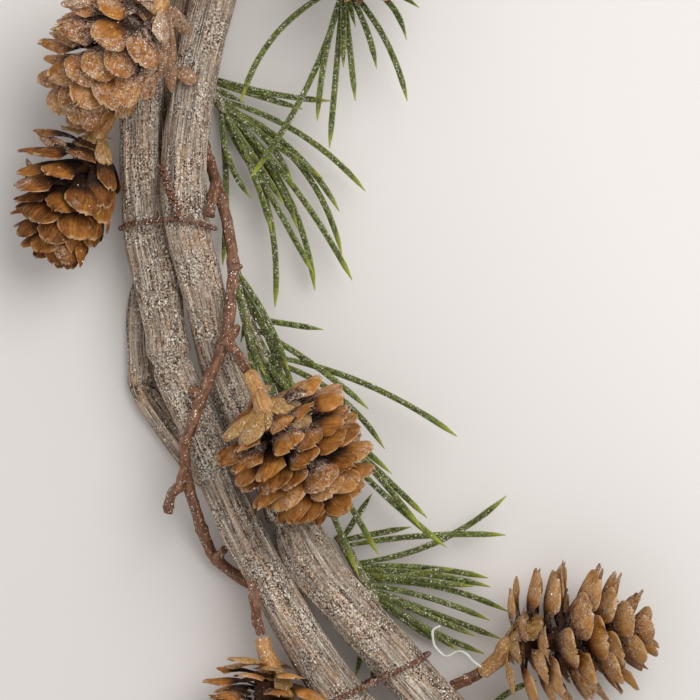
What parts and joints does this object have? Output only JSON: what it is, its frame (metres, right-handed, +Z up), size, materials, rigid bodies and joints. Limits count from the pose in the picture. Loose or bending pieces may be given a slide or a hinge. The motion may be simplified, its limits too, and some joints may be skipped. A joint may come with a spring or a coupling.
{
  "type": "grapevine wreath",
  "caption": "Ring of bundled grapevine canes tied with paper-covered wire and dressed with open cones, brown twigs and frosted needle sprigs, for a door, wall or table.",
  "frame": {"origin": "middle of the bounding box in plan, at the surface that the wreath lies on", "axes": "+Z up through the wreath from its back to its dressed front; +Y towards the top of the ring as the picture shows it; +X to the right"},
  "size_m": [0.3958, 0.4058, 0.0479],
  "materials": {
    "vine_bark": "dry, weathered, grey-brown, frosted",
    "tie_wire": "matte twisted paper over wire",
    "cone_scale": "dry orange-brown scales",
    "socket_resin": "satin, translucent",
    "twig_bark": "satin brown moulding",
    "needle_green": "green moulding with frosted edges and lime tips"
  },
  "bodies": {
    "root": {"cone_1": "cone_scale", "cone_2": "cone_scale", "cone_3": "cone_scale", "cone_4": "cone_scale", "cone_5": "cone_scale", "cone_pick_1": "cone_scale", "cone_pick_10": "cone_scale", "cone_pick_11": "cone_scale", "cone_pick_12": "cone_scale", "cone_pick_2": "cone_scale", "cone_pick_3": "cone_scale", "cone_pick_4": "cone_scale", "cone_pick_5": "cone_scale", "cone_pick_6": "cone_scale", "cone_pick_7": "cone_scale", "cone_pick_8": "cone_scale", "cone_pick_9": "cone_scale", "cone_socket_1": "socket_resin", "cone_socket_2": "socket_resin", "cone_socket_3": "socket_resin", "cone_socket_4": "socket_resin", "cone_socket_5": "socket_resin", "sprig_1": "needle_green", "sprig_2": "needle_green", "sprig_3": "needle_green", "sprig_4": "needle_green", "sprig_5": "needle_green", "sprig_pick_1": "needle_green", "sprig_pick_10": "needle_green", "sprig_pick_11": "needle_green", "sprig_pick_2": "needle_green", "sprig_pick_3": "needle_green", "sprig_pick_4": "needle_green", "sprig_pick_5": "needle_green", "sprig_pick_6": "needle_green", "sprig_pick_7": "needle_green", "sprig_pick_8": "needle_green", "sprig_pick_9": "needle_green", "tie_1": "tie_wire", "tie_2": "tie_wire", "tie_3": "tie_wire", "tie_4": "tie_wire", "tie_5": "tie_wire", "tie_6": "tie_wire", "tie_7": "tie_wire", "tie_8": "tie_wire", "tie_9": "tie_wire", "twig_long": "twig_bark", "twig_outer": "twig_bark", "twig_short": "twig_bark", "twig_side": "twig_bark", "twig_upper": "twig_bark", "vine_inner": "vine_bark", "vine_outer": "vine_bark", "vine_thin": "vine_bark", "vine_thin_far": "vine_bark"}
  },
  "joints": []
}
